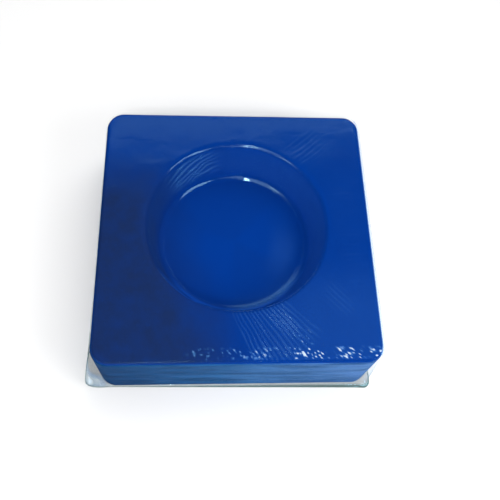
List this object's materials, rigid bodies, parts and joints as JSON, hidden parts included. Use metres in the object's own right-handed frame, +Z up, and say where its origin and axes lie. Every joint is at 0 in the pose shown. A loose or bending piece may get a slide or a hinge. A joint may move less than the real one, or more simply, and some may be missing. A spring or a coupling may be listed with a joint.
{
  "type": "wrapped cue chalk block",
  "caption": "Square block of blue cue chalk with a round dish in its top and a paper band, sealed in clear film.",
  "frame": {"origin": "centre of the block's footprint, on the plane that the wrapped block rests on", "axes": "+Z up through the dish, -Y towards the front, +X to the right"},
  "size_m": [0.0269, 0.0261, 0.008],
  "materials": {
    "chalk": "pressed chalk, matt",
    "label_paper": "plain uncoated paper",
    "clear_film": "clear glossy film"
  },
  "bodies": {
    "root": {"chalk_block": "chalk", "side_label": "label_paper", "base_label": "label_paper", "upper_film": "clear_film", "lower_film": "clear_film"}
  },
  "joints": []
}
